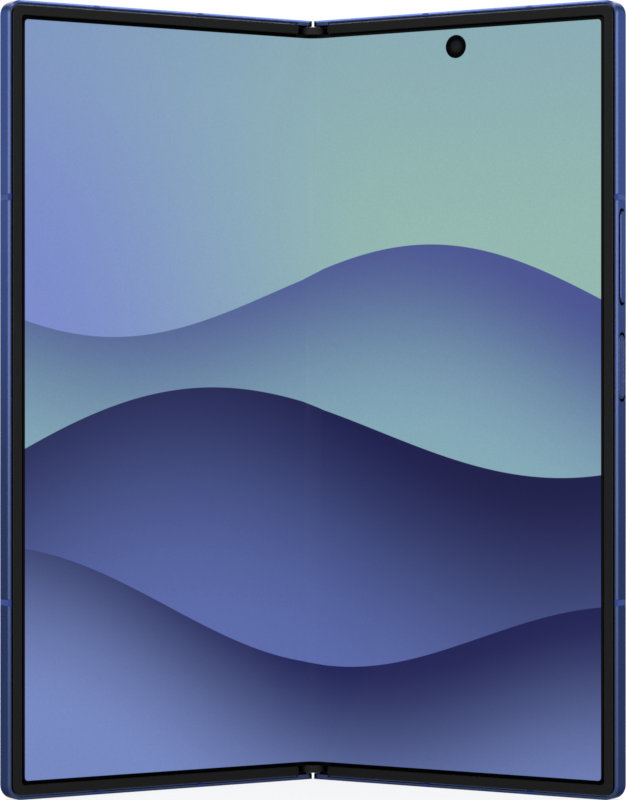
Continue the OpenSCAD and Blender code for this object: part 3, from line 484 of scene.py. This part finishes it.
def make_floor():
    """A pale floor that keeps the shadow, lit up towards white for the rays that show the backdrop."""
    bpy.ops.mesh.primitive_plane_add(size=FLOOR_SIZE, location=(0, 0, 0))
    floor = bpy.context.object
    floor.name = "studio_floor"
    made, n, shader = material("floor_pale")
    shader.inputs["Base Color"].default_value = srgb(248, 248, 250)
    shader.inputs["Roughness"].default_value = 0.7
    glow = n.add("ShaderNodeEmission")
    glow.inputs[0].default_value = WHITE
    blend = n.add("ShaderNodeMixShader")
    n.put(blend.inputs[0], n.math("MULTIPLY", n.seen(), BACKDROP_SHARE))
    n.put(blend.inputs[1], shader.outputs[0])
    n.put(blend.inputs[2], glow.outputs[0])
    n.put(made.node_tree.nodes["Material Output"].inputs[0], blend.outputs[0])
    floor.data.materials.append(made)


def make_world():
    """Plain light all round, and a white backdrop for the rays that show it."""
    world = bpy.data.worlds.new("studio")
    bpy.context.scene.world = world
    world.use_nodes = True
    n = Nodes(world.node_tree)
    light = world.node_tree.nodes["Background"]
    light.inputs[0].default_value = WHITE
    light.inputs[1].default_value = WORLD_LIGHT
    white = n.add("ShaderNodeBackground")
    white.inputs[0].default_value = WHITE
    blend = n.add("ShaderNodeMixShader")
    n.put(blend.inputs[0], n.seen())
    n.put(blend.inputs[1], light.outputs[0])
    n.put(blend.inputs[2], white.outputs[0])
    n.put(world.node_tree.nodes["World Output"].inputs[0], blend.outputs[0])


def add_lamp(name, place, size, power):
    """A rectangular lamp that points at the middle of the phone."""
    lamp = bpy.data.lights.new(name, "AREA")
    lamp.shape = "RECTANGLE"
    lamp.size, lamp.size_y = size
    lamp.energy = power
    made = bpy.data.objects.new(name, lamp)
    made.location = place
    towards = Vector((0, 0, PHONE_H / 2)) - Vector(place)
    made.rotation_euler = towards.to_track_quat("-Z", "Y").to_euler()
    bpy.context.scene.collection.objects.link(made)


def aside(angle, distance, height):
    """A place at an angle round the phone from the viewer's side, to the right for angles above 0."""
    turn = math.radians(angle)
    return (distance * math.sin(turn), -distance * math.cos(turn), height)


def make_lamps():
    """One lamp over the phone, and on each side the ones that its chamfers, rims and side faces mirror."""
    add_lamp("top_soft", (0.0, 0.38, 1.0), (0.9, 0.3), 10.5)
    for name, side in (("left", -1), ("right", 1)):
        add_lamp(name + "_front_soft", aside(side * 33, 1.0, 0.27), UPRIGHT_LAMP, 2.25)
        add_lamp(name + "_side_soft", aside(side * 64, 1.0, 0.4), UPRIGHT_LAMP, 0.15)
        add_lamp(name + "_back_soft", aside(side * 121, 1.0, 0.34), (0.5, 0.5), 1.75)
        add_lamp(name + "_corner_soft", aside(side * 154, 0.9, 0.52), (0.4, 0.4), 3.0)
        add_lamp(name + "_high_soft", (side * 0.2, -0.45, 1.0), (0.35, 0.3), 1.8)


CAMERA_DISTANCE = 679.9 * MM
FOCAL_PX = 3258.7
IMAGE_H = 800
SENSOR = 36.0


def make_camera():
    """Square to the fold at half height. The image's long side takes the sensor's whole width."""
    lens = bpy.data.cameras.new("camera")
    lens.lens = FOCAL_PX / IMAGE_H * SENSOR
    lens.sensor_width = SENSOR
    made = bpy.data.objects.new("camera", lens)
    front_of_fold = AXIS.y - AXIS_DEPTH
    made.location = (0.0, front_of_fold - CAMERA_DISTANCE, PHONE_H / 2)
    made.rotation_euler = (math.pi / 2, 0, 0)
    bpy.context.scene.collection.objects.link(made)
    bpy.context.scene.camera = made


def main():
    bpy.context.scene.view_settings.view_transform = "Standard"
    materials = make_materials()
    dress(materials)
    display = make_display(make_screen(), materials["black_plastic"])
    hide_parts("display_left", "fold_display")
    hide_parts("display_right")
    make_floor()
    make_world()
    make_lamps()
    make_camera()


main()
